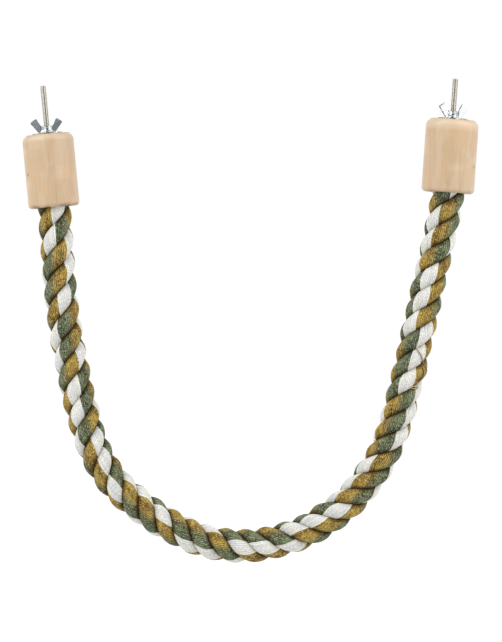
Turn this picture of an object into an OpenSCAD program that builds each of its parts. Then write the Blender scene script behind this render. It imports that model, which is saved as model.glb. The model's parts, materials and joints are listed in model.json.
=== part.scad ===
// Bird perch: a thick rope hangs in a curve between two turned end blocks.
// A threaded stud, a wide washer and a wing nut on each block clamp it to the bars of a cage.
// Origin: centre of the left block's end face, on the stud's axis. X runs to the right end, Z is up.

/* [Pose of the ends] */
// Distance between the two end faces, side to side
end_spacing = 263; // [250:1:276]
// Height of the right block's end face above the left one
end_rise = 9.5; // [0:0.5:16]
// Lean of the left block, its stud leaning outwards, in degrees
left_lean = 5.3; // [0:0.1:10]
// Lean of the right block, its stud leaning outwards, in degrees
right_lean = 4; // [0:0.1:10]

/* [End blocks] */
// Diameter of the left block
left_block_d = 33.2; // [30:0.1:40]
// Diameter of the right block
right_block_d = 34.2; // [30:0.1:40]
// Length of an end block
block_l = 47.5; // [40:0.5:56]
// Rounding of the edge on the cage's side
block_top_r = 4.5; // [1:0.5:5]
// Rounding of the edge on the rope's side
block_bottom_r = 2.5; // [0.5:0.5:3]
// Wood left between the screw's hole and the rope's socket
block_floor_t = 3; // [2:0.5:6]

/* [Rope] */
// Diameter of the rope, over its strands
rope_d = 22; // [18:0.5:23]
// Thickness of the tape round a rope end
tape_t = 0.3; // [0.2:0.05:0.5]
// Width of the tape round a rope end
tape_w = 14; // [8:0.5:20]

/* [Hanger bolts] */
// Diameter of the stud over its thread
stud_d = 4; // [3:0.5:5]
// Length of the left stud outside its block
left_stud_l = 31.5; // [20:0.5:40]
// Length of the right stud outside its block
right_stud_l = 26.5; // [20:0.5:40]
// Chamfer at a stud's tip
stud_chamfer = 0.5; // [0.2:0.1:0.8]
// Length of the wood screw inside the block, its plain shank included
screw_l = 16; // [12:0.5:18]
// Length of the plain shank below the end face
shank_l = 3.6; // [2:0.1:5]
// Pitch of the wood screw
screw_pitch = 1.8; // [1.4:0.1:2.4]
// Core diameter of the wood screw
screw_core_d = 2.6; // [2:0.1:2.8]

/* [Washers] */
// Outer diameter of a washer
washer_d = 20; // [14:0.5:24]
// Thickness of a washer
washer_t = 0.8; // [0.6:0.1:1.6]
// Play between a washer's hole and the stud, on the radius
washer_play = 0.15; // [0.1:0.05:0.3]

/* [Wing nuts] */
// Height of a wing nut's hub
hub_h = 4.6; // [3.5:0.1:6]
// Diameter of the hub at its base
hub_base_d = 8.4; // [7:0.1:10]
// Diameter of the hub at its top
hub_top_d = 6.4; // [6:0.1:7]
// Chamfer round the hub's two ends
hub_chamfer = 0.4; // [0.2:0.1:0.6]
// Reach of an ear, from the stud's axis to its lower outer corner
ear_reach = 10.7; // [9:0.1:12]
// Height of that corner above the nut's base
ear_rise = 6.7; // [5:0.1:8]
// Width of an ear at its end
ear_w = 5.2; // [3.5:0.1:5.5]
// Bulge of an ear's end
ear_bow = 0.5; // [0.2:0.1:0.8]
// Thickness of an ear
ear_t = 1.4; // [1:0.1:2]
// Rounding of an ear's corners
ear_r = 0.8; // [0.3:0.1:1.2]
// Slope of an ear's lower edge, in degrees
ear_low_slope = 52; // [48:1:58]
// Slope of an ear's upper edge, in degrees
ear_high_slope = 60; // [55:1:65]
// Play between a nut's bore and the stud, on the radius
nut_play = 0.05; // [0.02:0.01:0.1]
// Turn of the left nut on its stud, in degrees
left_nut_turn = 0; // [0:1:180]
// Turn of the right nut on its stud, in degrees
right_nut_turn = 25; // [0:1:180]

/* [Nails] */
// Diameter of the nail that pins a rope end
nail_d = 1.2; // [0.8:0.1:1.5]
// Length of a nail
nail_l = 14; // [10:0.5:16]
// Diameter of a nail's head
nail_head_d = 1.8; // [1.6:0.1:3]
// Thickness of a nail's head
nail_head_t = 0.6; // [0.4:0.1:1]
// Distance from the left block's end face down to its nail
left_nail_drop = 25.5; // [24:0.5:34]
// Distance from the right block's end face down to its nail
right_nail_drop = 30; // [24:0.5:34]
// Turn of the left nail from the outer side towards the front, in degrees
left_nail_turn = 28; // [0:1:60]
// Turn of the right nail from the outer side towards the front, in degrees
right_nail_turn = 23; // [0:1:60]

/* [Hidden] */

// Finish of round faces, and how far a cut runs past what it cuts
$fn = 64;
overrun = 1;
// Play round the screw, the nail and the tape, on the radius
screw_play = 0.05;
nail_play = 0.05;
tape_play = 0.05;

rope_r = rope_d / 2;
tape_in_r = rope_r + tape_play;
tape_out_r = tape_in_r + tape_t;
socket_r = tape_out_r + tape_play;
pilot_depth = screw_l + screw_play;
socket_depth = block_l - pilot_depth - block_floor_t;
stud_r = stud_d / 2;
nail_tip_l = nail_d;

// Height of a screw thread's crest and of its foot on the point's side, as shares of the pitch
crest_share = 0.5;
foot_share = 0.6;
// Depth at which a rounded corner's arc passes its diagonal, as a share of the radius
corner_share = 1 - sqrt(1 / 2);

// Axes of the two ends as X and Z shares, pointing up and out of the stud's tip
left_up = [-sin(left_lean), cos(left_lean)];
right_up = [sin(right_lean), cos(right_lean)];
left_face = [0, 0];
right_face = [end_spacing, end_rise];

// Route of the rope between the sockets' mouths, as X and Z, left to right
rope_route = [
    [7.5, -92], [13, -135], [22, -177.5], [37.5, -218],
    [69, -247.5], [108.5, -265.5], [151.5, -263.5], [190, -243],
    [217, -209.5], [231, -168.5], [241, -126], [250.5, -83.5]
];
route = concat(
    [left_face - left_up * (block_l - socket_depth), left_face - left_up * block_l],
    rope_route,
    [right_face - right_up * block_l, right_face - right_up * (block_l - socket_depth)]
);
rope_sides = 12;

function unit(v) = v / norm(v);

// Direction of the route at its point i
function heading(i) =
    let (last = len(route) - 1)
    let (before = unit(route[max(i, 1)] - route[max(i, 1) - 1]))
    let (after = unit(route[min(i, last - 1) + 1] - route[min(i, last - 1)]))
    unit(before + after);

// Ring of points round the route at its point i
function ring(i) =
    let (h = heading(i))
    [for (k = [0 : rope_sides - 1])
        let (a = 360 * k / rope_sides)
        [route[i][0] - h[1] * rope_r * cos(a), rope_r * sin(a), route[i][1] + h[0] * rope_r * cos(a)]];

// The two triangles between rings i and i + 1 at side k
function side(i, k) =
    let (n = (k + 1) % rope_sides, a = i * rope_sides, b = a + rope_sides)
    [[a + k, b + k, b + n], [a + k, b + n, a + n]];

// Places its children on the left end's axis, the end face at Z = 0
module at_left() {
    rotate([0, -left_lean, 0]) children();
}

// Places its children on the right end's axis, the end face at Z = 0
module at_right() {
    translate([right_face[0], 0, right_face[1]]) rotate([0, right_lean, 0]) children();
}

// Direction of the left nail, which enters from the outer side
module left_nail_place() {
    translate([0, 0, -left_nail_drop]) rotate([0, 0, 180 + left_nail_turn]) rotate([0, 90, 0]) children();
}

// Direction of the right nail, which enters from the outer side
module right_nail_place() {
    translate([0, 0, -right_nail_drop]) rotate([0, 0, -right_nail_turn]) rotate([0, 90, 0]) children();
}

// Distance from the axis of a block of diameter d to the seat of its nail's head
function nail_seat_r(d) = d / 2 - nail_head_t - nail_play;

// Half outline of a block of diameter d, with both its edges rounded
module block_outline(d) {
    r = d / 2;
    translate([0, -block_l + block_bottom_r]) square([r, block_l - block_bottom_r - block_top_r]);
    translate([0, -block_l]) square([r - block_bottom_r, block_l]);
    translate([0, -block_l / 2]) square([r - block_top_r, block_l / 2]);
    translate([r - block_top_r, -block_top_r]) quarter(block_top_r);
    translate([r - block_bottom_r, block_bottom_r - block_l]) mirror([0, 1]) quarter(block_bottom_r);
}

// Quarter of a disc in the first quadrant
module quarter(r) {
    intersection() {
        circle(r);
        square(r);
    }
}

// Turned block with the rope's socket below and the screw's hole above
module block(d) {
    difference() {
        rotate_extrude() block_outline(d);
        translate([0, 0, -block_l - overrun]) cylinder(r = socket_r, h = socket_depth + overrun);
        translate([0, 0, -pilot_depth]) cylinder(r = stud_r + screw_play, h = pilot_depth + overrun);
        children();
    }
}

// Hole for a nail and the seat of its head, in a block of diameter d
module nail_hole(d) {
    cylinder(d = nail_d + 2 * nail_play, h = d / 2 + overrun);
    translate([0, 0, nail_seat_r(d)]) cylinder(d = nail_head_d + 2 * nail_play, h = d / 2);
}

// Nail along its axis, the underside of its head on its seat in a block of diameter d
module nail(d) {
    seat_r = nail_seat_r(d);
    translate([0, 0, seat_r]) cylinder(d = nail_head_d, h = nail_head_t);
    translate([0, 0, seat_r - nail_l + nail_tip_l]) cylinder(d = nail_d, h = nail_l - nail_tip_l);
    translate([0, 0, seat_r - nail_l]) cylinder(d1 = 0, d2 = nail_d, h = nail_tip_l);
}

// Hanger bolt: a threaded stud above the end face and a wood screw below it
module hanger_bolt(stud_l) {
    turns = floor((screw_l - shank_l) / screw_pitch) - 1;
    core_r = screw_core_d / 2;
    translate([0, 0, -shank_l]) cylinder(r = stud_r, h = shank_l + stud_l - stud_chamfer);
    translate([0, 0, stud_l - stud_chamfer])
        cylinder(r1 = stud_r, r2 = stud_r - stud_chamfer, h = stud_chamfer);
    rotate_extrude() polygon(concat(
        [[0, -shank_l + overrun], [core_r, -shank_l + overrun]],
        [for (n = [0 : turns - 1]) each [
            [core_r, -shank_l - n * screw_pitch],
            [stud_r, -shank_l - (n + crest_share) * screw_pitch],
            [core_r, -shank_l - (n + foot_share) * screw_pitch]
        ]],
        [[core_r, -shank_l - turns * screw_pitch], [0, -screw_l]]
    ));
}

// Wide washer lying on the end face
module washer() {
    difference() {
        cylinder(d = washer_d, h = washer_t);
        translate([0, 0, -overrun]) cylinder(r = stud_r + washer_play, h = washer_t + 2 * overrun);
    }
}

// Outline of the ear on the +X side: a sloping, tapered plate with rounded corners and a bowed end
module ear_outline() {
    low_dir = [cos(ear_low_slope), sin(ear_low_slope)];
    high_dir = [cos(ear_high_slope), sin(ear_high_slope)];
    end_dir = unit(low_dir + high_dir);
    across = [-end_dir[1], end_dir[0]];
    root = [stud_r + nut_play + ear_t / 2, hub_chamfer];
    low = [ear_reach, ear_rise];
    high = low + across * ear_w;
    low_l = (low[1] - root[1]) / low_dir[1];
    high_l = min((high[0] - root[0]) / high_dir[0], (high[1] - hub_h / 2) / high_dir[1]);
    polygon([
        root, low - low_dir * low_l,
        low - low_dir * ear_r, low + (across - low_dir) * ear_r * corner_share, low + across * ear_r,
        (low + high) / 2 + end_dir * ear_bow,
        high - across * ear_r, high - (across + high_dir) * ear_r * corner_share, high - high_dir * ear_r,
        high - high_dir * high_l
    ]);
}

// Wing nut with its base at Z = 0
module wing_nut() {
    difference() {
        union() {
            rotate_extrude() polygon([
                [0, 0], [hub_base_d / 2 - hub_chamfer, 0], [hub_base_d / 2, hub_chamfer],
                [hub_top_d / 2, hub_h - hub_chamfer], [hub_top_d / 2 - hub_chamfer, hub_h], [0, hub_h]
            ]);
            for (turn = [0, 180])
                rotate([0, 0, turn]) translate([0, ear_t / 2, 0]) rotate([90, 0, 0])
                    linear_extrude(ear_t) ear_outline();
        }
        translate([0, 0, -overrun]) cylinder(r = stud_r + nut_play, h = hub_h + ear_reach);
    }
}

// Tape wound round a rope end, with the nail's hole through it
module end_tape() {
    difference() {
        translate([0, 0, -block_l + socket_depth - tape_w]) cylinder(r = tape_out_r, h = tape_w);
        translate([0, 0, -block_l + socket_depth - tape_w - overrun])
            cylinder(r = tape_in_r, h = tape_w + 2 * overrun);
        children();
    }
}

module rope() {
    last = len(route) - 1;
    color("darkkhaki") polyhedron(
        points = [for (i = [0 : last]) each ring(i)],
        faces = concat(
            [for (i = [0 : last - 1]) for (k = [0 : rope_sides - 1]) each side(i, k)],
            [[for (k = [0 : rope_sides - 1]) k]],
            [[for (k = [rope_sides - 1 : -1 : 0]) last * rope_sides + k]]
        )
    );
}

module left_end_block() {
    color("burlywood") at_left() block(left_block_d) left_nail_place() nail_hole(left_block_d);
}

module right_end_block() {
    color("burlywood") at_right() block(right_block_d) right_nail_place() nail_hole(right_block_d);
}

module left_hanger_bolt() {
    color("silver") at_left() hanger_bolt(left_stud_l);
}

module right_hanger_bolt() {
    color("silver") at_right() hanger_bolt(right_stud_l);
}

module left_washer() {
    color("lightsteelblue") at_left() washer();
}

module right_washer() {
    color("lightsteelblue") at_right() washer();
}

module left_wing_nut() {
    color("lightslategray") at_left() translate([0, 0, washer_t]) rotate([0, 0, left_nut_turn]) wing_nut();
}

module right_wing_nut() {
    color("lightslategray") at_right() translate([0, 0, washer_t]) rotate([0, 0, right_nut_turn]) wing_nut();
}

module left_rope_nail() {
    color("dimgray") at_left() left_nail_place() nail(left_block_d);
}

module right_rope_nail() {
    color("dimgray") at_right() right_nail_place() nail(right_block_d);
}

module left_end_tape() {
    color("white") at_left() end_tape() left_nail_place() nail_hole(left_block_d);
}

module right_end_tape() {
    color("white") at_right() end_tape() right_nail_place() nail_hole(right_block_d);
}

rope();
left_end_block();
right_end_block();
left_hanger_bolt();
right_hanger_bolt();
left_washer();
right_washer();
left_wing_nut();
right_wing_nut();
left_rope_nail();
right_rope_nail();
left_end_tape();
right_end_tape();
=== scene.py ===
"""A rope perch for a cage: a thick three-strand rope hangs in a curve between two turned end blocks.

Sizes are in metres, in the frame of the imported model, and those of the hardware in millimetres. X runs from
the left stud to the right one, Z is up.
"""
import json
import math

import bpy
import numpy as np
from mathutils import Matrix, Vector, noise


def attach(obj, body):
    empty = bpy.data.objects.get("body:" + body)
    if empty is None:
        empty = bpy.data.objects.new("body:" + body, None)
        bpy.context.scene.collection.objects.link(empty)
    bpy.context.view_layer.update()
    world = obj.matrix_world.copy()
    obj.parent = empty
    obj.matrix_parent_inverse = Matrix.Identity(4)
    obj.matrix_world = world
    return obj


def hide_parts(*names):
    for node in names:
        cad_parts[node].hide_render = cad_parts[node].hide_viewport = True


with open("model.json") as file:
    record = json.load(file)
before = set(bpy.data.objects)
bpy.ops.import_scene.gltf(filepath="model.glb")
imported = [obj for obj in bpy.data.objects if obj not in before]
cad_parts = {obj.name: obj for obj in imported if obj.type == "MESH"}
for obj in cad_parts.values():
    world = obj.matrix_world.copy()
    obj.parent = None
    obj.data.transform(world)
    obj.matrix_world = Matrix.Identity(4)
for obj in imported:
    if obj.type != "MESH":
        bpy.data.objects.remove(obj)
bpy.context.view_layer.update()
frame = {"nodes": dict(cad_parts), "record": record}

# Photographed view: what the frame's middle looks at, and how much it shows from top to bottom
VIEW_MID_X = 0.1321
VIEW_MID_Z = -0.1212
VIEW_HEIGHT = 0.4167
CAMERA_DISTANCE = 3.0

# Ends of the perch, as the frame has them
ENDS = {m["name"].split("_")[0]: (Vector(m["pos_m"]), Vector(m["axis"])) for m in frame["record"]["mounts"]}
BLOCK_LENGTH = 0.0475
SOCKET_DEPTH = 0.02845

# Route of the rope between the two sockets' mouths, X and Z
ROPE_ROUTE = [
    (0.0075, -0.092), (0.013, -0.135), (0.022, -0.1775), (0.0375, -0.218),
    (0.069, -0.2475), (0.1085, -0.2655), (0.1515, -0.2635), (0.190, -0.243),
    (0.217, -0.2095), (0.231, -0.1685), (0.241, -0.126), (0.2505, -0.0835),
]
ROPE_DIAMETER = 0.022

# Lean of each end in the photographed plane
LEAN = {side: math.atan2(axis.x, axis.z) for side, (place, axis) in ENDS.items()}


def end_matrix(side):
    """From millimetres in an end's own frame, its stud along Z and its end face at 0, to the frame."""
    return Matrix.Translation(ENDS[side][0]) @ Matrix.Rotation(LEAN[side], 4, "Y") @ Matrix.Scale(0.001, 4)


def make_camera():
    """Camera level with the middle of the photographed frame, far off, so that it hardly converges."""
    data = bpy.data.cameras.new("camera")
    camera = bpy.data.objects.new("camera", data)
    bpy.context.scene.collection.objects.link(camera)
    camera.location = (VIEW_MID_X, -CAMERA_DISTANCE, VIEW_MID_Z)
    camera.rotation_euler = (math.radians(90), 0, 0)
    data.lens = data.sensor_width * CAMERA_DISTANCE / VIEW_HEIGHT
    data.clip_end = 4 * CAMERA_DISTANCE
    bpy.context.scene.camera = camera


make_camera()


# Rope
STRANDS = 3
YARNS = 24
# Columns of the mesh on each yarn, and steps across a strand's crown
YARN_COLUMNS = 3
CROWN_STEPS = 11
# Half of a strand's sector, and of the slit between two strands, in degrees
SECTOR_HALF = 60
SLIT_HALF = 0.25
# How far a strand's middle lies from the rope's, how far its edges are drawn in and where its core runs, as
# shares of the rope's radius
STRAND_OFFSET_SHARE = 0.36
EDGE_FALL_SHARE = 0.02
CORE_SHARE = 0.12
# How suddenly the edges are drawn in, as a power
EDGE_FALL_POWER = 8
# How far the yarns stand out of the hollows between them, by how much they differ, and the seed of that
YARN_DEPTH = 0.00018
YARN_SPREAD = 0.00005
YARN_SEED = 7
# Slow swellings of a strand: each one's share of the radius, its length, and its shift between strands
SWELLINGS = [(0.012, 0.031, 2.1), (0.008, 0.0117, 1.0)]
# Length over which the yarns are pressed flat at the rope's two ends
END_FADE = 0.006
# Degrees round a strand's own middle for each degree round the rope, across its crown
YARN_TURN_RATIO = 2.25
# Crowns passed on the front of the rope at each distance along it. A strand comes round every third one.
CROWN_MARKS = [
    (0.0, -2.13), (0.0388, 0.5), (0.1125, 5.5), (0.1806, 10.5), (0.2484, 15.5), (0.3143, 20.5),
    (0.3834, 25.5), (0.4525, 30.5), (0.5226, 35.5), (0.5931, 40.5), (0.6262, 42.85),
]
# Turns of the strand at which its colours are set, and where its white meets its gold there, in degrees
# round the rope
COLOUR_TURNS = [-1, 0, 3, 6, 9, 12, 15]
COLOUR_ANGLES = [
    [50, 10, -113, -241, -362, -470, -590],
    [92, 52, -69, -206, -343, -460, -580],
    [1, -39, -165, -290, -410, -538, -658],
]
# Distance between the points of the rope's centreline
LINE_STEP = 0.0016
# Points at which a curve is measured before it is divided evenly
FINE_POINTS = 6000
PULLED_YARN_RADIUS = 0.00036
PULLED_YARN_STEP = 0.0003
PULLED_YARN_SIDES = 8
# Yarns pulled out of the lay: how pale each one is, and its millimetres along the rope, across it from its
# middle, and off its surface
PULLED_YARNS = [
    (0.4, [
        (495.2, 1.7, -0.8), (494.4, 2.5, 0.2), (493.3, 3.6, 0.4), (491.6, 4.8, 0.5), (489.9, 5.9, 0.5),
        (488.2, 7.0, 0.3), (486.9, 7.7, -0.8),
    ]),
    (0.4, [
        (488.8, 8.5, -0.5), (486.6, 9.7, 0.5), (484.0, 10.3, 0.8), (481.8, 10.3, 0.8), (479.4, 9.9, 0.7),
        (476.8, 9.2, 0.6), (474.6, 8.1, 0.3), (472.6, 6.7, -0.7),
    ]),
    (0.0, [
        (488.2, 7.2, -0.5), (485.8, 8.1, 0.4), (483.4, 8.7, 0.6), (480.4, 8.8, 0.6), (477.2, 8.2, 0.4),
        (474.8, 7.0, -0.6),
    ]),
    (1.0, [
        (470.9, 3.2, -0.9), (470.9, 5.2, 0.3), (471.9, 7.4, 1.0), (471.5, 8.5, 1.2), (470.4, 8.2, 1.0),
        (469.9, 6.4, 0.6), (469.9, 4.6, -0.2), (470.2, 3.4, -1.0),
    ]),
]


def smooth_curve(points, first_direction, last_direction, step):
    """Points about a step apart on the cubic curve through the given ones, and their distances along it."""
    points = np.array(points, float)
    spans = np.linalg.norm(np.diff(points, axis=0), axis=1)
    knots = np.concatenate([[0], np.cumsum(spans)])
    last = len(points) - 1
    matrix = np.eye(last + 1)
    right = np.zeros_like(points)
    right[0] = first_direction
    right[last] = last_direction
    for i in range(1, last):
        before, after = spans[i - 1], spans[i]
        matrix[i, i - 1:i + 2] = [1 / before, 2 / before + 2 / after, 1 / after]
        right[i] = 3 * ((points[i] - points[i - 1]) / before**2 + (points[i + 1] - points[i]) / after**2)
    slopes = np.linalg.solve(matrix, right)

    def at(t):
        i = np.clip(np.searchsorted(knots, t, side="right") - 1, 0, last - 1)
        span = spans[i][:, None]
        f = ((t - knots[i]) / spans[i])[:, None]
        return (
            (2 * f**3 - 3 * f**2 + 1) * points[i] + (f**3 - 2 * f**2 + f) * span * slopes[i]
            + (3 * f**2 - 2 * f**3) * points[i + 1] + (f**3 - f**2) * span * slopes[i + 1]
        )

    fine = np.linspace(0, knots[-1], FINE_POINTS)
    along = np.concatenate([[0], np.cumsum(np.linalg.norm(np.diff(at(fine), axis=0), axis=1))])
    distances = np.linspace(0, along[-1], round(along[-1] / step) + 1)
    return at(np.interp(distances, along, fine)), distances


def flat(v):
    """X and Z of a vector."""
    return np.array([v[0], v[2]])


def rope_line(step):
    """The rope's centreline from socket floor to socket floor, as X and Z, and the distances along it."""
    (left, left_up), (right, right_up) = ENDS["left"], ENDS["right"]
    floor_drop = BLOCK_LENGTH - SOCKET_DEPTH
    points = [flat(left - left_up * floor_drop), flat(left - left_up * BLOCK_LENGTH)]
    points += ROPE_ROUTE
    points += [flat(right - right_up * BLOCK_LENGTH), flat(right - right_up * floor_drop)]
    return smooth_curve(points, -flat(left_up), flat(right_up), step)


class RopeFrame:
    """Places on the rope, by the distance along it, the angle round it and the distance from its middle."""

    def __init__(self, step):
        self.line, self.distances = rope_line(step)
        ahead = np.gradient(self.line, axis=0)
        ahead /= np.linalg.norm(ahead, axis=1)[:, None]
        self.outward = np.stack([ahead[:, 1], -ahead[:, 0]], axis=1)

    def place(self, along, angle, radius):
        """Points for arrays of one shape. Angle 0 faces the front, a quarter turn faces outwards."""
        mid = [np.interp(along, self.distances, self.line[:, i]) for i in (0, 1)]
        out = [np.interp(along, self.distances, self.outward[:, i]) for i in (0, 1)]
        across = radius * np.sin(angle)
        place = [mid[0] + across * out[0], -radius * np.cos(angle), mid[1] + across * out[1]]
        return np.stack(place, axis=-1)


def crowns_passed(along):
    """Crowns passed on the front of the rope at each distance along it."""
    marks = np.array(CROWN_MARKS)
    return np.interp(along, marks[:, 0], marks[:, 1])


def strand_section():
    """A strand's outline from its core over its crown: angles in its sector, radii as shares, yarn angles.

    The outline closes on its first point, a full turn of the yarns later.
    """
    even = np.linspace(-1, 1, CROWN_STEPS + 1)
    crown = (SECTOR_HALF - SLIT_HALF) * (even + np.sin(np.pi / 2 * even)) / 2
    aside = STRAND_OFFSET_SHARE * np.sin(np.radians(crown))
    out = STRAND_OFFSET_SHARE * np.cos(np.radians(crown))
    radii = out + np.sqrt((1 - STRAND_OFFSET_SHARE)**2 - aside**2)
    radii -= EDGE_FALL_SHARE * (np.abs(crown) / SECTOR_HALF)**EDGE_FALL_POWER
    return np.append(0, crown), np.append(CORE_SHARE, radii), np.append(-180, crown * YARN_TURN_RATIO)


def surface_radius(along, across):
    """Angle round the rope and radius of its surface, at distances along it and across its front."""
    angle = math.asin(across / (ROPE_DIAMETER / 2))
    angles, shares, _ = strand_section()
    sector = 2 * SECTOR_HALF
    aside = (math.degrees(angle) - sector * crowns_passed(along) + SECTOR_HALF) % sector - SECTOR_HALF
    return angle, ROPE_DIAMETER / 2 * np.interp(aside, angles[1:], shares[1:])


def build_mesh(name, points, faces, smooth=True):
    mesh = bpy.data.meshes.new(name)
    mesh.from_pydata([tuple(p) for p in points], [], faces)
    mesh.polygons.foreach_set("use_smooth", [smooth] * len(mesh.polygons))
    mesh.validate()
    made = bpy.data.objects.new(name, mesh)
    bpy.context.scene.collection.objects.link(made)
    return made


def grid_faces(rows, columns):
    """Faces of a tube whose rows are closed rings."""
    faces = []
    for row in range(rows - 1):
        for column in range(columns):
            a = row * columns + column
            b = row * columns + (column + 1) % columns
            faces.append((a, b, b + columns, a + columns))
    return faces


def strand_mesh(rope, strand, draws):
    """Points, faces, yarn values and groove values of one strand, its columns lying along its yarns.

    The yarns' turn grows along the rope and across the crown, so a column crosses the crown from groove to
    groove. What lies past an end of the rope is drawn together into that end's flat ring.
    """
    angles, shares, yarn_angles = strand_section()
    marks = rope.distances
    mark_turns = (crowns_passed(marks) - strand) / STRANDS
    met = np.interp(mark_turns, COLOUR_TURNS, COLOUR_ANGLES[strand])
    core_turns = 2 * mark_turns - YARN_TURN_RATIO * met / 360
    first_yarn = math.floor((core_turns[0] - 0.5) * YARNS)
    last_yarn = math.ceil((core_turns[-1] + 0.5) * YARNS)
    columns = np.arange((last_yarn - first_yarn) * YARN_COLUMNS + 1)
    yarn_turns = (first_yarn + columns / YARN_COLUMNS) / YARNS
    wanted = yarn_turns[:, None] - yarn_angles[None, :] / 360
    along = np.interp(wanted, core_turns, marks)

    swell = 1 + sum(share * np.sin(along / length + shift * strand) for share, length, shift in SWELLINGS)
    heights = draws.normal(0, YARN_SPREAD, last_yarn - first_yarn + 1)[columns // YARN_COLUMNS]
    heights = np.where(columns % YARN_COLUMNS == 0, -YARN_DEPTH, heights)
    fade = np.clip(np.minimum(along, marks[-1] - along) / END_FADE, 0, 1) * (shares > CORE_SHARE)
    radius = ROPE_DIAMETER / 2 * shares[None, :] * swell + heights[:, None] * fade
    theta = 2 * np.pi * (crowns_passed(along) - strand) / STRANDS + np.radians(angles)[None, :]
    points = rope.place(along, theta, radius)

    index = np.arange(along.size).reshape(along.shape)
    index = np.where(wanted <= core_turns[0], index[:1], index)
    index = np.where(wanted >= core_turns[-1], index[-1:], index)
    closing = index[np.maximum(columns - YARNS * YARN_COLUMNS, 0), 0]
    ring = np.column_stack([index, closing])
    quads = np.stack([ring[:-1, :-1], ring[:-1, 1:], ring[1:, 1:], ring[1:, :-1]], axis=-1).reshape(-1, 4)
    faces = [list(dict.fromkeys(quad)) for quad in quads.tolist()]
    faces = [face for face in faces if len(face) > 2]
    faces += [index[0][::-1].tolist(), index[-1].tolist()]
    used = np.unique(index)
    lookup = dict(zip(used.tolist(), range(len(used))))
    faces = [[lookup[i] for i in face] for face in faces]
    turns = np.broadcast_to(yarn_turns[:, None], along.shape)
    values = np.stack([turns, along, np.full_like(along, strand)], axis=-1)
    groove = np.broadcast_to(np.where(shares > CORE_SHARE, np.abs(angles) / SECTOR_HALF, 1.0), along.shape)
    return points.reshape(-1, 3)[used], faces, values.reshape(-1, 3)[used], groove.ravel()[used]


def make_rope():
    """Three strands laid right-handed.

    The yarn attribute holds the turns round the strand, the metres along the rope and the strand's number,
    the groove attribute how near a point is to the groove between two strands.
    """
    rope = RopeFrame(LINE_STEP)
    draws = np.random.default_rng(YARN_SEED)
    points, faces, yarn, edge = [], [], [], []
    for strand in range(STRANDS):
        more_points, more_faces, more_yarn, more_edge = strand_mesh(rope, strand, draws)
        faces += [[len(points) + i for i in face] for face in more_faces]
        points += more_points.tolist()
        yarn += more_yarn.ravel().tolist()
        edge += more_edge.tolist()
    made = build_mesh("rope_strands", points, faces)
    made.data.attributes.new("yarn", "FLOAT_VECTOR", "POINT").data.foreach_set("vector", yarn)
    made.data.attributes.new("groove", "FLOAT", "POINT").data.foreach_set("value", edge)
    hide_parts("rope")
    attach(made, "root")
    return made


def tube(line, radius, sides):
    """Points and faces of a closed tube along a smooth line of points."""
    ahead = np.gradient(line, axis=0)
    points = []
    for place, way in zip(line, ahead):
        turn = Vector(way).to_track_quat("Z", "Y")
        for k in range(sides):
            angle = 2 * math.pi * k / sides
            around = Vector((radius * math.cos(angle), radius * math.sin(angle), 0))
            points.append(Vector(place) + turn @ around)
    faces = grid_faces(len(line), sides)
    faces += [tuple(range(sides - 1, -1, -1)), tuple(range(len(points) - sides, len(points)))]
    return points, faces


def make_pulled_yarns():
    """Loose yarns that lie across their neighbours, and a small loop that stands off the rope."""
    rope = RopeFrame(LINE_STEP)
    points, faces, pales = [], [], []
    for pale, marks in PULLED_YARNS:
        places = []
        for along, across, lift in marks:
            angle, radius = surface_radius(along / 1000, across / 1000)
            places.append(rope.place(along / 1000, angle, radius + lift / 1000))
        places = np.array(places)
        line, _ = smooth_curve(places, places[1] - places[0], places[-1] - places[-2], PULLED_YARN_STEP)
        more_points, more_faces = tube(line, PULLED_YARN_RADIUS, PULLED_YARN_SIDES)
        faces += [[len(points) + i for i in face] for face in more_faces]
        points += more_points
        pales += [pale] * len(more_points)
    made = build_mesh("rope_pulled_yarns", points, faces)
    made.data.attributes.new("pale", "FLOAT", "POINT").data.foreach_set("value", pales)
    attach(made, "root")
    return made


rope_strands = make_rope()
pulled_yarns = make_pulled_yarns()


# Hardware, in millimetres in each end's own frame
STUD_LENGTH = {m["name"].split("_")[0]: m["dims"]["length_mm"] for m in frame["record"]["mounts"]}
THREAD_PITCH = 0.7
THREAD_CREST = 2.0
THREAD_ROOT = 1.57
THREAD_STEP = 0.05
THREAD_COLUMNS = 40
TIP_CHAMFER = 0.5
SHANK_LENGTH = 3.6
SCREW_LENGTH = 16
SCREW_PITCH = 1.8
SCREW_CORE = 1.3
SCREW_STEP = 3 * THREAD_STEP
SCREW_POINT_LENGTH = 3
SCREW_POINT_SHARE = 0.02
# How much of half a pitch the thread's root takes and how much its flank, on the stud and on the wood screw
THREAD_SHARES = (0.25, 0.625)
SCREW_SHARES = (0.4, 0.6)

WASHER_RADIUS = 10
WASHER_THICKNESS = 0.8
WASHER_COLUMNS = 96
# Corners of the washer's section: radius, height, rounding
WASHER_SECTION = [
    (2.15, 0, 0.1), (WASHER_RADIUS, 0, 0.1), (WASHER_RADIUS, WASHER_THICKNESS, 0.25),
    (2.15, WASHER_THICKNESS, 0.15),
]
# Where the painted dark reflection on the washer's rim starts, and over what breadth it grows
WASHER_RIM_START = 9.75
WASHER_RIM_BREADTH = 0.15

# Turn of each wing nut on its stud, in degrees
NUT_TURN = {"left": 0, "right": 25}
HUB_HEIGHT = 4.6
HUB_COLUMNS = 64
# Corners of the hub's section, which is drawn in above its collar
HUB_SECTION = [
    (2.1, 0.0, 0.1), (3.95, 0.0, 0.25), (4.0, 1.2, 0.4), (3.2, 1.9, 0.5), (3.15, 3.2, 0.5),
    (3.5, HUB_HEIGHT, 0.5), (2.1, HUB_HEIGHT, 0.2),
]
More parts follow.
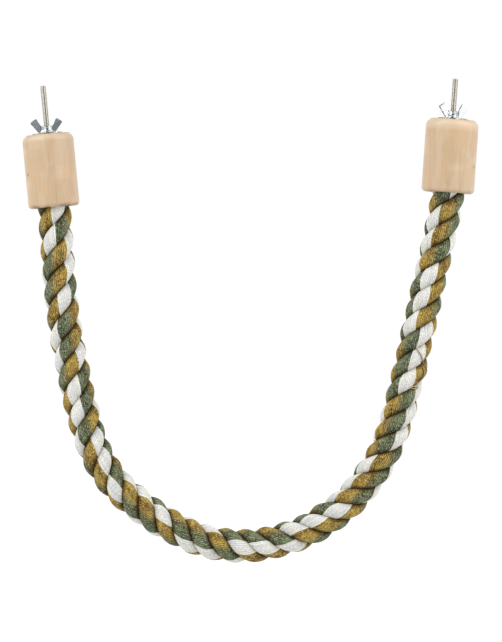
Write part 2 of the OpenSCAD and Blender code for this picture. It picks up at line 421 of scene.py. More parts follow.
# Corners of the ear on the +X side: reach, height, rounding
EAR_OUTLINE = [
    (2.9, 0.4, 0.1), (5.55, 0.45, 0.4), (10.6, 6.6, 0.7), (6.5, 9.55, 0.8), (3.2, 3.8, 0.8),
    (2.9, 3.6, 0.1),
]
EAR_ROOT_THICKNESS = 1.7
EAR_END_THICKNESS = 1.3
# How much higher each casting's two ears stand, the one on the +X side first, and the height it grows over
EAR_LIFT = {"left": (0.0, 0.6), "right": (0.6, 0.6)}
EAR_LIFT_HEIGHT = 6.0
# Skin of the casting: the grid that melts its parts together, how it is smoothed, its waves' height and
# scale, and how far it is drawn in
VOXEL = 0.13
SMOOTH_FACTOR = 0.5
SMOOTH_ROUNDS = 5
WAVE_HEIGHT = 0.03
WAVE_SCALE = 1.3
SKIN_INSET = 0.02

# Painted dark reflections on the hub. First one in its drawn-in waist: how high its middle is, half its
# height, which way it faces and half its width, in degrees round the nut
WAIST_REFLECTION_HEIGHT = 2.4
WAIST_REFLECTION_HEIGHT_HALF = 0.8
WAIST_REFLECTION_TURN = {"left": -90, "right": -122}
WAIST_REFLECTION_TURN_HALF = 38
# Its foot and its upper edge
FOOT_HEIGHT = 0.6
CROWN_BREADTH = 0.5
# The roots of the ears: how far out they are marked, over what breadth and half width, and how strongly
ROOT_REACH = 3.6
ROOT_BREADTH = 0.5
ROOT_HALF = 1.2
ROOT_SHARE = {"left": 0.35, "right": 1.0}
# How much painted dark reflection the rest of the hub has
HUB_SHARE = 0.34
# Where the ears begin, and how far the painted dark reflection on the -X ear runs in from its edges
EAR_START = 4.2
EDGE_BREADTH = 0.55


def rounded(corners, steps=5):
    """Closed outline whose corners, two coordinates and a radius each, are rounded."""
    outline = []
    for i, (x, y, radius) in enumerate(corners):
        here = Vector((x, y))
        before = (Vector(corners[i - 1][:2]) - here).normalized()
        after = (Vector(corners[(i + 1) % len(corners)][:2]) - here).normalized()
        half = before.angle(after) / 2
        middle = here + (before + after).normalized() * radius / math.sin(half)
        reach = radius / math.tan(half)
        for step in range(steps + 1):
            way = (here + before * reach - middle).lerp(here + after * reach - middle, step / steps)
            outline.append(middle + way.normalized() * radius)
    return outline


def lathe(section, columns):
    """Points and faces of a closed section, radii and heights, turned round Z."""
    turns = np.linspace(0, 2 * np.pi, columns, endpoint=False)
    rows = list(section) + [section[0]]
    points = [(r * np.cos(t), r * np.sin(t), z) for r, z in section for t in turns]
    faces = [[i % len(points) for i in face] for face in grid_faces(len(rows), columns)]
    return points, faces


def placed(name, matrix, points, faces):
    return build_mesh(name, [matrix @ Vector(p) for p in points], faces)


def thread_radius(turn, height, pitch, root, shares):
    """Radius of a thread that rises from its root over a flank to its crest."""
    root_share, flank_share = shares
    wave = np.abs(2 * ((height / pitch - turn) % 1) - 1)
    return root + (THREAD_CREST - root) * np.clip((wave - root_share) / flank_share, 0, 1)


def bolt_radius(turn, height, length):
    """Radius of a hanger bolt: a machine thread above the face, a plain shank, a wood screw below."""
    machine = thread_radius(turn, height, THREAD_PITCH, THREAD_ROOT, THREAD_SHARES)
    machine = np.minimum(machine, THREAD_CREST - TIP_CHAMFER + length - height)
    wood = thread_radius(turn, height, SCREW_PITCH, SCREW_CORE, SCREW_SHARES)
    wood = wood * np.clip((height + SCREW_LENGTH) / SCREW_POINT_LENGTH, SCREW_POINT_SHARE, 1)
    shank = np.full_like(height, THREAD_CREST)
    return np.where(height > 0, machine, np.where(height < -SHANK_LENGTH, wood, shank))


def make_bolt(side):
    """Stud and wood screw in one."""
    length = STUD_LENGTH[side]
    low = np.arange(-SCREW_LENGTH, -SHANK_LENGTH, SCREW_STEP)
    high = np.linspace(0, length, round(length / THREAD_STEP) + 1)
    heights = np.concatenate([low, [-SHANK_LENGTH, -THREAD_STEP], high])
    turns = np.arange(THREAD_COLUMNS) / THREAD_COLUMNS
    turn, height = np.meshgrid(turns, heights)
    radius = bolt_radius(turn, height, length)
    across = 2 * np.pi * turn
    points = np.stack([radius * np.cos(across), radius * np.sin(across), height], axis=-1).reshape(-1, 3)
    faces = grid_faces(len(heights), THREAD_COLUMNS)
    faces.append(tuple(range(THREAD_COLUMNS - 1, -1, -1)))
    faces.append(tuple(range(len(points) - THREAD_COLUMNS, len(points))))
    made = placed(f"{side}_threaded_bolt", end_matrix(side), points, faces)
    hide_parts(f"{side}_hanger_bolt")
    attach(made, "root")
    return made


def make_washer(side):
    """Wide washer, whose mesh marks where its rim gets a painted dark reflection."""
    points, faces = lathe(rounded(WASHER_SECTION), WASHER_COLUMNS)
    made = placed(f"{side}_penny_washer", end_matrix(side), points, faces)
    # Painted dark reflection on the washer's rim, stored on the mesh for its material
    past = [(math.hypot(x, y) - WASHER_RIM_START) / WASHER_RIM_BREADTH for x, y, z in points]
    painted_reflections = [min(max(share, 0), 1) for share in past]
    made.data.attributes.new("rim", "FLOAT", "POINT").data.foreach_set("value", painted_reflections)
    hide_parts(f"{side}_washer")
    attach(made, f"{side}_washer")
    return made


def lifted(lift):
    """Corners of an ear whose upper part stands higher."""
    return [(x, z + lift * min(z / EAR_LIFT_HEIGHT, 1), radius) for x, z, radius in EAR_OUTLINE]


def ear(sign, lift, first):
    """Points and faces of one ear, thicker at its root than at its end."""
    outline = rounded(lifted(lift))
    reach = max(x for x, z in outline)
    points = []
    for face in (-1, 1):
        for x, z in outline:
            thickness = EAR_ROOT_THICKNESS + (EAR_END_THICKNESS - EAR_ROOT_THICKNESS) * x / reach
            points.append((sign * x, sign * face * thickness / 2, z))
    count = len(outline)
    near = [first + i for i in range(count)]
    far = [first + count + i for i in reversed(range(count))]
    sides = [(near[i - 1], near[i - 1] + count, near[i] + count, near[i]) for i in range(count)]
    return points, [near, far] + sides


def edge_distance(x, z, start, end):
    """How far a point lies inside the line through two corners of an ear."""
    way = (Vector(end[:2]) - Vector(start[:2])).normalized()
    return abs(way.x * (z - start[1]) - way.y * (x - start[0]))


def ear_dark_reflection(place, normal, side):
    """Painted dark reflection, 1 on an ear's narrow sides and on two edges of the -X ear, 0 on its broad
    faces.
    """
    narrow = 1 - normal.y**2
    if place.x > 0:
        return narrow
    low, out, high = lifted(EAR_LIFT[side][1])[1:4]
    outer = edge_distance(-place.x, place.z, low, out)
    upper = edge_distance(-place.x, place.z, out, high)
    return max(narrow, 1 - min(outer, upper) / EDGE_BREADTH)


def hub_dark_reflection(place, side):
    """Painted dark reflection on the hub: most in the middle of its marks, its own share between them."""
    aside = (math.degrees(math.atan2(place.y, place.x)) - WAIST_REFLECTION_TURN[side] + 180) % 360 - 180
    waist_reflection = min(1 - abs(place.z - WAIST_REFLECTION_HEIGHT) / WAIST_REFLECTION_HEIGHT_HALF, 1 - abs(aside) / WAIST_REFLECTION_TURN_HALF)
    foot = 1 - place.z / FOOT_HEIGHT
    crown = 1 - abs(place.z - HUB_HEIGHT) / CROWN_BREADTH
    root = 0
    if abs(place.y) < ROOT_HALF:
        root = 1 - abs(math.hypot(place.x, place.y) - ROOT_REACH) / ROOT_BREADTH
    return max(waist_reflection, foot, crown, root * ROOT_SHARE[side], HUB_SHARE)


def nut_dark_reflection(place, normal, side):
    """How much painted dark reflection a wing nut has at a point of its own frame."""
    if math.hypot(place.x, place.y) > EAR_START:
        return ear_dark_reflection(place, normal, side)
    return hub_dark_reflection(place, side)


def make_wing_nut(side):
    """Cast nut: hub and ears melted into one skin, with the slight waves of a casting."""
    points, faces = lathe(rounded(HUB_SECTION), HUB_COLUMNS)
    for sign, lift in zip((1, -1), EAR_LIFT[side]):
        more_points, more_faces = ear(sign, lift, len(points))
        points = points + more_points
        faces = faces + more_faces
    rough = build_mesh(f"{side}_nut_rough", points, faces)
    rough.modifiers.new("skin", "REMESH").voxel_size = VOXEL
    soften = rough.modifiers.new("soften", "SMOOTH")
    soften.factor = SMOOTH_FACTOR
    soften.iterations = SMOOTH_ROUNDS
    mesh = bpy.data.meshes.new_from_object(rough.evaluated_get(bpy.context.evaluated_depsgraph_get()))
    bpy.data.objects.remove(rough)
    seat = end_matrix(side) @ Matrix.Translation((0, 0, WASHER_THICKNESS))
    seat = seat @ Matrix.Rotation(math.radians(NUT_TURN[side]), 4, "Z")
    skin = [(Vector(v.co), Vector(v.normal)) for v in mesh.vertices]
    # Painted dark reflections of the nut, stored on the mesh for its material
    painted_reflections = [nut_dark_reflection(place, normal, side) for place, normal in skin]
    for vertex, (place, normal) in zip(mesh.vertices, skin):
        vertex.co = place + normal * (noise.noise(place * WAVE_SCALE) * WAVE_HEIGHT - SKIN_INSET)
    mesh.transform(seat)
    mesh.name = f"{side}_cast_nut"
    mesh.attributes.new("rim", "FLOAT", "POINT").data.foreach_set("value", painted_reflections)
    mesh.polygons.foreach_set("use_smooth", [True] * len(mesh.polygons))
    made = bpy.data.objects.new(mesh.name, mesh)
    bpy.context.scene.collection.objects.link(made)
    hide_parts(f"{side}_wing_nut")
    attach(made, f"{side}_wing_nut")
    return made


bolts = {side: make_bolt(side) for side in ENDS}
washers = {side: make_washer(side) for side in ENDS}
wing_nuts = {side: make_wing_nut(side) for side in ENDS}


# Materials
def linear(red, green, blue):
    """A colour given in the eight-bit values of a screen."""
    levels = [level / 255 for level in (red, green, blue)]
    return tuple(c / 12.92 if c <= 0.04045 else ((c + 0.055) / 1.055) ** 2.4 for c in levels) + (1,)


class Graph:
    """The node tree of a material, or a given one, whose nodes are added by short calls."""

    def __init__(self, name="", tree=None):
        self.material = None if tree else bpy.data.materials.new(name)
        if self.material:
            self.material.use_nodes = True
        self.tree = tree or self.material.node_tree
        self.tree.nodes.clear()

    def add(self, kind, inputs=None, **settings):
        made = self.tree.nodes.new("ShaderNode" + kind)
        for key, value in settings.items():
            setattr(made, key, value)
        for key, value in (inputs or {}).items():
            if isinstance(value, bpy.types.NodeSocket):
                self.tree.links.new(value, made.inputs[key])
            else:
                made.inputs[key].default_value = value
        return made

    def math(self, operation, *values):
        return self.add("Math", dict(enumerate(values)), operation=operation).outputs[0]

    def mix(self, factor, a, b, blend="MIX"):
        """A colour between a and b."""
        return self.add("Mix", {0: factor, 6: a, 7: b}, data_type="RGBA", blend_type=blend).outputs[2]

    def band(self, value, low, high):
        """0 from low backwards, 1 from high onwards, smooth between. Low may be the greater of the two."""
        inputs = {"Value": value, "From Min": low, "From Max": high}
        return self.add("MapRange", inputs, interpolation_type="SMOOTHSTEP").outputs[0]

    def noise(self, vector, scale, detail=2.0, roughness=0.5):
        inputs = {"Vector": vector, "Scale": scale, "Detail": detail, "Roughness": roughness}
        return self.add("TexNoise", inputs).outputs[0]

    def vector(self, x, y, z):
        return self.add("CombineXYZ", {0: x, 1: y, 2: z}).outputs[0]

    def mapped(self, vector, **settings):
        return self.add("Mapping", {"Vector": vector, **settings}).outputs[0]

    def blend(self, factor, low, high):
        """A colour between two screen colours."""
        return self.mix(factor, linear(*low), linear(*high))

    def layers(self, colour, rows, patterns):
        """A screen colour with others laid over it: pattern, where it starts and is full, share, colour."""
        colour = linear(*colour)
        for name, start, full, share, over in rows:
            amount = self.math("MULTIPLY", self.band(patterns[name], start, full), share)
            colour = self.mix(amount, colour, linear(*over))
        return colour

    def bump(self, height, distance, strength):
        inputs = {"Height": height, "Distance": distance, "Strength": strength}
        return self.add("Bump", inputs).outputs[0]

    def finish(self, shader, output="ShaderNodeOutputMaterial"):
        out = self.tree.nodes.new(output)
        self.tree.links.new(shader.outputs[0], out.inputs[0])
        return self.material


# Patterns of the yarns: how fast each one changes per yarn and per metre along the rope, its detail and its
# roughness
YARN_PATTERNS = {
    "streak": (1.6, 420.0, 2.0, 0.6),
    "fleck": (1.6, 800.0, 2.0, 0.6),
    "tint": (0.45, 170.0, 1.0, 0.5),
    "cloud": (0.25, 90.0, 2.0, 0.5),
}
# Colours of each yarn: its base, then the pattern of each layer, where it starts and is full, its share and
# its colour
YARN_COLOURS = {
    "white": ((211, 211, 203), [
        ("fleck", 0.32, 0.68, 1.0, (252, 251, 245)),
        ("tint", 0.48, 0.70, 0.6, (212, 217, 228)),
        ("tint", 0.46, 0.28, 0.6, (236, 231, 216)),
    ]),
    "gold": ((122, 97, 42), [
        ("cloud", 0.36, 0.64, 1.0, (190, 162, 76)),
        ("tint", 0.52, 0.70, 0.5, (196, 144, 70)),
        ("streak", 0.50, 0.70, 0.7, (214, 188, 112)),
        ("streak", 0.50, 0.30, 0.7, (96, 75, 27)),
        ("fleck", 0.53, 0.72, 1.0, (234, 212, 142)),
        ("fleck", 0.47, 0.28, 1.0, (74, 54, 16)),
    ]),
    "green": ((75, 80, 49), [
        ("cloud", 0.38, 0.62, 1.0, (122, 133, 101)),
        ("tint", 0.52, 0.70, 0.6, (84, 103, 98)),
        ("tint", 0.46, 0.28, 0.5, (126, 146, 98)),
        ("streak", 0.50, 0.72, 0.7, (166, 170, 142)),
        ("streak", 0.50, 0.28, 0.7, (57, 61, 38)),
        ("fleck", 0.53, 0.70, 1.0, (186, 190, 162)),
        ("fleck", 0.47, 0.28, 1.0, (42, 46, 24)),
    ]),
}
# Painted shade between yarns and towards the grooves between strands: what each one follows, where it
# starts and is full, and what it multiplies the coloured yarns and the white ones by
PAINTED_HOLLOW_SHADES = [
    ("off_middle", 0.55, 1.0, (170, 162, 146), (240, 239, 236)),
    ("groove", 0.50, 0.95, (176, 163, 124), (243, 243, 242)),
    ("groove", 0.86, 1.0, (126, 108, 34), (236, 232, 220)),
]
# How far the colours' borders wander round the strand, as a share of its turn
BORDER_WANDER = 0.06
# Where gold turns to green in that turn, and how much the patterns shift it
GREEN_START = 0.38
GREEN_FULL = 0.60
STREAK_BLUR = 0.12
FLECK_BLUR = 0.18
# The white yarns take the last third of the turn
WHITE_START = 2 / 3
# By how much the yarns differ in brightness, and the seed of that
YARN_SHADE_SPREAD = 0.16
YARN_SHADE_SEED = 0.5
# Relief of a yarn: the twist of its plies per metre and across it, the height of these and of its fuzz
# beside the yarn's own, and the whole in metres
PLY_ALONG = 2600.0
PLY_ACROSS = 5.0
PLY_HEIGHT = 0.2
FUZZ_HEIGHT = 1.2
YARN_RELIEF = 0.00022


def yarn_patterns(graph, count, along, strand):
    """The noises that the yarns' colours follow, by name."""
    patterns = {}
    for name, (count_scale, along_scale, detail, roughness) in YARN_PATTERNS.items():
        across = graph.math("MULTIPLY", count, count_scale)
        place = graph.vector(across, graph.math("MULTIPLY", along, along_scale), strand)
        patterns[name] = graph.noise(place, 1.0, detail, roughness)
    return patterns


def yarn_colour(graph, turn, patterns):
    """Gold, green and white by thirds of the strand's turn, and 1 where it is white."""
    colours = {name: graph.layers(base, rows, patterns) for name, (base, rows) in YARN_COLOURS.items()}
    wander = graph.math("MULTIPLY_ADD", patterns["cloud"], BORDER_WANDER, -BORDER_WANDER / 2)
    place = graph.math("FRACT", graph.math("ADD", turn, wander))
    blurred = graph.math("MULTIPLY_ADD", patterns["fleck"], FLECK_BLUR, place)
    blurred = graph.math("MULTIPLY_ADD", patterns["streak"], STREAK_BLUR, blurred)
    colour = graph.mix(graph.band(blurred, GREEN_START, GREEN_FULL), colours["gold"], colours["green"])
    is_white = graph.math("GREATER_THAN", place, WHITE_START)
    return graph.mix(is_white, colour, colours["white"]), is_white


def own_shade(graph, colour, count, strand):
    """The colour with each yarn a little lighter or darker than the others."""
    draw = graph.vector(graph.math("FLOOR", count), strand, YARN_SHADE_SEED)
    own = graph.add("TexWhiteNoise", {"Vector": draw}, noise_dimensions="3D").outputs["Value"]
    shade = graph.math("MULTIPLY_ADD", own, YARN_SHADE_SPREAD, 1 - YARN_SHADE_SPREAD / 2)
    return graph.add("HueSaturation", {"Value": shade, "Color": colour}).outputs[0]


def painted_hollow_shades(graph, colour, is_white, depths):
    """The colour with painted shade between the yarns and towards the grooves between the strands."""
    for name, start, full, coloured, white in PAINTED_HOLLOW_SHADES:
        tone = graph.blend(is_white, coloured, white)
        tone = graph.mix(1.0, colour, tone, blend="MULTIPLY")
        colour = graph.mix(graph.band(depths[name], start, full), colour, tone)
    return colour


def yarn_relief(graph, off_middle, inside, along, fleck):
    """Height of a yarn's round back, with its plies and its fuzz."""
    back = graph.math("SUBTRACT", 1.0, graph.math("POWER", off_middle, 2.0))
    across = graph.math("MULTIPLY", inside, PLY_ACROSS)
    ply = graph.math("SINE", graph.math("MULTIPLY_ADD", along, PLY_ALONG, across))
    height = graph.math("MULTIPLY_ADD", ply, PLY_HEIGHT, back)
    return graph.math("MULTIPLY_ADD", fleck, FUZZ_HEIGHT, height)


def rope_material():
    """Cotton yarns in white, gold and green, a third of each strand's girth each."""
    graph = Graph("cotton_rope")
    attribute = graph.add("Attribute", attribute_name="yarn")
    turn, along, strand = graph.add("SeparateXYZ", {0: attribute.outputs["Vector"]}).outputs
    groove = graph.add("Attribute", attribute_name="groove").outputs["Fac"]
    count = graph.math("MULTIPLY", turn, YARNS)
    inside = graph.math("FRACT", count)
    off_middle = graph.math("ABSOLUTE", graph.math("MULTIPLY_ADD", inside, 2.0, -1.0))
    patterns = yarn_patterns(graph, count, along, strand)
    colour, is_white = yarn_colour(graph, turn, patterns)
    colour = own_shade(graph, colour, count, strand)
    # Painted shade between the yarns and towards the grooves between the strands
    colour = painted_hollow_shades(graph, colour, is_white, {"off_middle": off_middle, "groove": groove})
    height = yarn_relief(graph, off_middle, inside, along, patterns["fleck"])
    shader = graph.add("BsdfPrincipled", {
        "Base Color": colour, "Roughness": 0.88, "Normal": graph.bump(height, YARN_RELIEF, strength=0.8),
        "Specular IOR Level": 0.12, "Sheen Weight": 0.1, "Sheen Roughness": 0.5,
    })
    return graph.finish(shader)


# Patterns of the wood: the scale of each one along the block beside that across it, its scale per metre,
# its detail and its roughness
WOOD_PATTERNS = {
    "broad": (0.14, 110.0, 3.0, 0.5),
    "fine": (0.05, 900.0, 4.0, 0.65),
    "cloud": (1.0, 60.0, 2.0, 0.5),
    "warm": (0.4, 150.0, 3.0, 0.6),
}
WOOD_BASE = (203, 175, 142)
# Its layers: pattern, where it starts and is full, share and colour
WOOD_LAYERS = [
    ("broad", 0.3, 0.7, 1.0, (210, 184, 153)),
    ("rings", 0.2, 1.0, 0.34, (196, 164, 126)),
    ("fine", 0.5, 0.72, 0.5, (178, 146, 108)),
    ("cloud", 0.48, 0.75, 0.7, (220, 197, 166)),
    ("warm", 0.52, 0.72, 0.6, (216, 174, 126)),
]
# What the broad pattern is multiplied by before its sine, which draws the rings along the grain
RING_RADIANS = 30.0
WOOD_RELIEF = 0.00008
# Where each block's grain is taken from, in metres along X
WOOD_SHIFT = {"left": 0.31, "right": 0.77}
# Painted highlight at each block's upper end: how far down it reaches, how much and to which colour
TOP_HIGHLIGHT_DEPTH = {"left": 0.0055, "right": 0.0085}
TOP_HIGHLIGHT_SHARE = {"left": 0.3, "right": 0.4}
TOP_HIGHLIGHT_TONE = {"left": (216, 202, 182), "right": (234, 216, 192)}
# Yearly rings on the upper end: where their middle lies from the stud, how far they run down the rim, how
# they are spaced per metre and wander, in radians, where a ring starts in its wave, and how brown it is
PITH = Vector((-0.013, 0.017, 0.0))
END_GRAIN_DEPTH = 0.0016
END_GRAIN_RADIANS = 3400.0
END_GRAIN_WANDER = 9.0
END_GRAIN_START = -0.6
END_GRAIN_SHARE = 0.5
END_GRAIN_TONE = (186, 152, 112)
# Painted shade and wear on the lower rim: where it starts, from the upper end, the scale of its patches,
# between which values of theirs it sets in, how strong it is on each block, and its colour
RIM_SHADE_AND_WEAR_FROM = 0.0450
RIM_SHADE_AND_WEAR_SCALE = 170.0
RIM_SHADE_AND_WEAR_BAND = (0.42, 0.58)
RIM_SHADE_AND_WEAR_SHARE = {"left": 0.8, "right": 0.2}
RIM_SHADE_AND_WEAR_TONE = (150, 112, 74)


def wood_patterns(graph, turned):
    """The noises that the wood's colours follow, by name, and the rings along the grain."""
    patterns = {}
    for name, (along_scale, scale, detail, roughness) in WOOD_PATTERNS.items():
        place = graph.mapped(turned, Scale=(1, 1, along_scale))
        patterns[name] = graph.noise(place, scale, detail, roughness)
    patterns["rings"] = graph.math("SINE", graph.math("MULTIPLY", patterns["broad"], RING_RADIANS))
    return patterns


def end_grain(graph, place, middle, below, broad):
    """How far a point is in a dark ring of the upper end."""
    reach = graph.add("VectorMath", {0: place, 1: tuple(middle)}, operation="DISTANCE").outputs["Value"]
    wander = graph.math("MULTIPLY", broad, END_GRAIN_WANDER)
    years = graph.math("SINE", graph.math("MULTIPLY_ADD", reach, END_GRAIN_RADIANS, wander))
    on_top = graph.band(below, END_GRAIN_DEPTH, 0.0)
    return graph.math("MULTIPLY", on_top, graph.band(years, END_GRAIN_START, 1.0))


def wood_material(side):
    """Pale turned wood with its grain along the block, a painted highlight on top, painted shade and wear
    below.
    """
    graph = Graph(f"pale_wood_{side}")
    place = graph.add("TexCoord").outputs["Object"]
    turned = graph.mapped(place, Rotation=(0, -LEAN[side], 0), Location=(WOOD_SHIFT[side], 0, 0))
    end, up = ENDS[side]
    height = graph.add("VectorMath", {0: place, 1: tuple(up)}, operation="DOT_PRODUCT").outputs["Value"]
    below = graph.math("SUBTRACT", end.dot(up), height)
    patterns = wood_patterns(graph, turned)
    colour = graph.layers(WOOD_BASE, WOOD_LAYERS, patterns)
    # Painted highlight: the upper end lighter, as where light from above falls on its rounding
    top_highlight = graph.band(below, TOP_HIGHLIGHT_DEPTH[side], TOP_HIGHLIGHT_DEPTH[side] / 2)
    colour = graph.mix(graph.math("MULTIPLY", top_highlight, TOP_HIGHLIGHT_SHARE[side]), colour, linear(*TOP_HIGHLIGHT_TONE[side]))
    ringed = end_grain(graph, place, end + PITH, below, patterns["broad"])
    colour = graph.mix(graph.math("MULTIPLY", ringed, END_GRAIN_SHARE), colour, linear(*END_GRAIN_TONE))
    # Painted shade and wear: darker brown patches along the lower rim
    patches = graph.band(graph.noise(place, RIM_SHADE_AND_WEAR_SCALE, detail=3.0), *RIM_SHADE_AND_WEAR_BAND)
    rim_shade_and_wear = graph.math("MULTIPLY", graph.band(below, RIM_SHADE_AND_WEAR_FROM, BLOCK_LENGTH), patches)
    colour = graph.mix(graph.math("MULTIPLY", rim_shade_and_wear, RIM_SHADE_AND_WEAR_SHARE[side]), colour, linear(*RIM_SHADE_AND_WEAR_TONE))
    shader = graph.add("BsdfPrincipled", {
        "Base Color": colour, "Roughness": 0.42,
        "Normal": graph.bump(patterns["fine"], WOOD_RELIEF, strength=0.4),
        "Specular IOR Level": 0.5, "Sheen Weight": 0.3, "Sheen Roughness": 0.35,
    })
    return graph.finish(shader)


# Metals: the two colours of their mottle and its scale, their roughness, their relief in metres, and the
# colour of the painted dark reflections that a mesh marks
METALS = {
    "zinc_thread": {
        "low": (194, 190, 180), "high": (210, 206, 198), "grain": 3000.0, "roughness": 0.22,
        "relief": 0.00002,
    },
    "zinc_sheet": {
        "low": (222, 224, 226), "high": (244, 244, 244), "grain": 2000.0, "roughness": 0.26,
        "relief": 0.00002, "rim": (140, 128, 116),
    },
    "zinc_nut": {
        "low": (214, 222, 226), "high": (250, 252, 253), "grain": 1300.0, "roughness": 0.24,
        "relief": 0.0002, "rim": (72, 76, 80),
    },
    "nail_steel": {
        "low": (150, 126, 98), "high": (186, 164, 136), "grain": 2400.0, "roughness": 0.45,
        "relief": 0.00002,
    },
}
# Between which values of a noise a mottle's colours change
MOTTLE_BAND = (0.3, 0.7)
# Scale beside the mottle's of the clouds that the roughness follows, and of the patches of painted dark
# reflection
CLOUD_SCALE = 0.125
REFLECTION_PATCH_SCALE = 0.25
# Between which values of its patches the painted dark reflection sets in
REFLECTION_PATCH_BAND = (0.34, 0.50)
# Between which of the mesh's marks it sets in
RIM_BAND = (0.15, 0.6)
# The least and greatest roughness, as shares of the metal's own
ROUGHNESS_LOW = 0.8
ROUGHNESS_HIGH = 1.25


def metal_material(name, low, high, grain, roughness, relief, rim=None):
    """Plated steel with a faint mottle, and painted dark reflections where a mesh marks them."""
    graph = Graph(name)
    place = graph.add("TexCoord").outputs["Object"]
    mottle = graph.noise(place, grain, detail=4.0, roughness=0.6)
    cloud = graph.noise(place, grain * CLOUD_SCALE)
    colour = graph.blend(graph.band(mottle, *MOTTLE_BAND), low, high)
    # Painted dark reflections, in patches, where the mesh marks them
    if rim:
        on_painted_reflection = graph.add("Attribute", attribute_name="rim").outputs["Fac"]
        reflection_patches = graph.band(graph.noise(place, grain * REFLECTION_PATCH_SCALE), *REFLECTION_PATCH_BAND)
        painted_dark = graph.math("MULTIPLY", graph.band(on_painted_reflection, *RIM_BAND), reflection_patches)
        colour = graph.mix(painted_dark, colour, linear(*rim))
    ends = {"To Min": roughness * ROUGHNESS_LOW, "To Max": roughness * ROUGHNESS_HIGH}
    rough = graph.add("MapRange", {"Value": cloud, **ends}).outputs[0]
    shader = graph.add("BsdfPrincipled", {
        "Base Color": colour, "Metallic": 1.0, "Roughness": rough,
        "Normal": graph.bump(mottle, relief, strength=0.6),
    })
    return graph.finish(shader)


# Scale per metre of the tape's creases, how much finer they are along the tape's axis, the scale of the
# pulled yarns' flecks, the relief of both in metres, and their colours
TAPE_SCALE = 160.0
TAPE_CREASE_RATIO = 6
PULLED_SCALE = 900.0
SMALL_RELIEF = 0.0001
TAPE_COLOURS = ((214, 210, 200), (238, 236, 228))
PULLED_GOLD = ((58, 44, 18), (112, 86, 38))
PULLED_TAN = ((160, 134, 98), (214, 188, 148))


def tape_material():
    """White tape with creases round the rope."""
    graph = Graph("white_tape")
    place = graph.add("TexCoord").outputs["Object"]
    crease = graph.noise(graph.mapped(place, Scale=(1, 1, TAPE_CREASE_RATIO)), TAPE_SCALE, detail=3.0)
    shader = graph.add("BsdfPrincipled", {
        "Base Color": graph.blend(crease, *TAPE_COLOURS), "Roughness": 0.5,
        "Normal": graph.bump(crease, SMALL_RELIEF, strength=0.5),
    })
    return graph.finish(shader)


def pulled_material():
    """Cotton of the yarns that are pulled out, brown gold or, where the mesh marks it, a pale tan."""
    graph = Graph("pulled_cotton")
    place = graph.add("TexCoord").outputs["Object"]
    pale = graph.add("Attribute", attribute_name="pale").outputs["Fac"]
    fleck = graph.noise(place, PULLED_SCALE, detail=3.0, roughness=0.6)
    light = graph.band(fleck, *MOTTLE_BAND)
    colour = graph.mix(pale, graph.blend(light, *PULLED_GOLD), graph.blend(light, *PULLED_TAN))
    shader = graph.add("BsdfPrincipled", {
        "Base Color": colour, "Roughness": 0.9, "Normal": graph.bump(fleck, SMALL_RELIEF, strength=0.5),
    })
    return graph.finish(shader)


def dress(piece, material):
    piece.data.materials.clear()
    piece.data.materials.append(material)


metals = {name: metal_material(name, **look) for name, look in METALS.items()}
white_tape = tape_material()
dress(rope_strands, rope_material())
dress(pulled_yarns, pulled_material())
for side in ENDS:
    dress(frame["nodes"][f"{side}_end_block"], wood_material(side))
    dress(frame["nodes"][f"{side}_rope_nail"], metals["nail_steel"])
    dress(frame["nodes"][f"{side}_end_tape"], white_tape)
    dress(washers[side], metals["zinc_sheet"])
    dress(wing_nuts[side], metals["zinc_nut"])
    dress(bolts[side], metals["zinc_thread"])


# Light and ground
WORLD_LEVEL = 0.67
LAMP_ASIDE = 0.75
LAMP_Y = -0.4
LAMP_Z = 0.52
LAMP_AIM_Z = -0.12
LAMP_SIZE = 0.8
LAMP_POWER = 5.0
FLOOR_DROP = 0.37
FLOOR_MID_Y = 2.0
FLOOR_HALF = 6.0
FLOOR_GREY = 0.86
# What the floor adds to its shade for the rays that see the background
FLOOR_GLOW = 0.5
# Grey cards that only gloss shows: middle, upward direction, half width, half height, colour
REFLECTED_CARDS = [
    ("front_card", (VIEW_MID_X, -1.2, 0.0), (0, 0, 1), 0.5, 2.2, (95, 103, 106)),
    ("top_card", (VIEW_MID_X, 0.5, 1.0), (0, 1, 0), 1.5, 0.45, (112, 110, 106)),
    ("low_card", (VIEW_MID_X, 0.35, -0.34), (0, 1, 0), 1.5, 0.3, (60, 56, 52)),
]


def make_lamp(name, aside):
    """Soft round lamp above the front, aimed at the rope, that the camera doesn't see."""
    data = bpy.data.lights.new(name, "AREA")
    data.shape = "DISK"
    data.size = LAMP_SIZE
    data.energy = LAMP_POWER
    lamp = bpy.data.objects.new(name, data)
    bpy.context.scene.collection.objects.link(lamp)
    lamp.location = (VIEW_MID_X + aside, LAMP_Y, LAMP_Z)
    way = Vector((VIEW_MID_X, 0, LAMP_AIM_Z)) - lamp.location
    lamp.rotation_euler = way.to_track_quat("-Z", "Y").to_euler()
    lamp.visible_camera = False


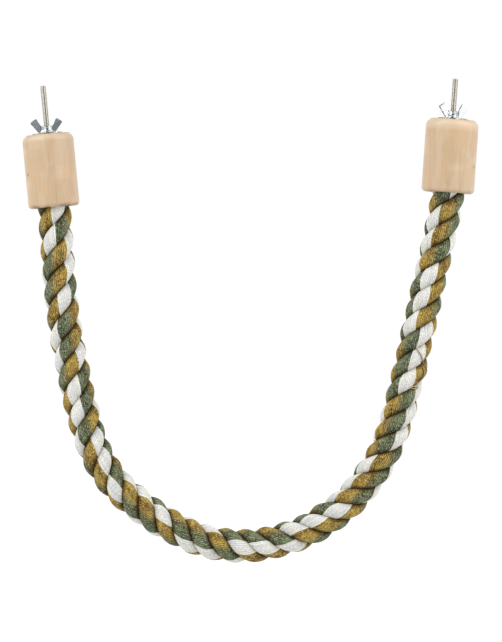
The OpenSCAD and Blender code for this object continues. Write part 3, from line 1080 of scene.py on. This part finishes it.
def seen_white(graph):
    """Value 1 for the rays that see the background: the camera's, a gloss's and a glass's."""
    path = graph.add("LightPath")
    seen = graph.math("MAXIMUM", path.outputs["Is Camera Ray"], path.outputs["Is Glossy Ray"])
    return graph.math("MAXIMUM", seen, path.outputs["Is Transmission Ray"])


def make_world():
    """White background that lights the scene less than it shows."""
    world = bpy.data.worlds.new("studio")
    world.use_nodes = True
    bpy.context.scene.world = world
    graph = Graph(tree=world.node_tree)
    strength = graph.add("MapRange", {"Value": seen_white(graph), "To Min": WORLD_LEVEL, "To Max": 1.0})
    back = graph.add("Background", {"Color": (1, 1, 1, 1), "Strength": strength.outputs[0]})
    graph.finish(back, "ShaderNodeOutputWorld")


def plane(name, mid, up, half_width, half_height):
    """Upright or lying rectangle of the stage, its width along X."""
    points = []
    for x, y in [(-1, -1), (1, -1), (1, 1), (-1, 1)]:
        points.append(Vector(mid) + Vector((x * half_width, 0, 0)) + Vector(up) * y * half_height)
    made = build_mesh(name, points, [(0, 1, 2, 3)], smooth=False)
    return made


def make_floor():
    """Wide white floor, to the camera nearly as bright as the background."""
    floor = plane("floor", (VIEW_MID_X, FLOOR_MID_Y, -FLOOR_DROP), (0, 1, 0), FLOOR_HALF, FLOOR_HALF)
    graph = Graph("floor_white")
    glow_strength = graph.math("MULTIPLY", seen_white(graph), FLOOR_GLOW)
    grey = graph.add("BsdfDiffuse", {"Color": (FLOOR_GREY, FLOOR_GREY, FLOOR_GREY, 1)})
    glow = graph.add("Emission", {"Color": (1, 1, 1, 1), "Strength": glow_strength})
    dress(floor, graph.finish(graph.add("AddShader", {0: grey.outputs[0], 1: glow.outputs[0]})))


def make_card(name, middle, up, half_width, half_height, shade):
    """Card that only gloss shows."""
    card = plane(name, middle, up, half_width, half_height)
    graph = Graph(name)
    dress(card, graph.finish(graph.add("Emission", {"Color": linear(*shade), "Strength": 1.0})))
    card.visible_camera = False
    card.visible_diffuse = False
    card.visible_shadow = False
    card.visible_transmission = False


make_world()
make_floor()
for card in REFLECTED_CARDS:
    make_card(*card)
make_lamp("left_lamp", -LAMP_ASIDE)
make_lamp("right_lamp", LAMP_ASIDE)
bpy.context.scene.view_settings.view_transform = "Standard"
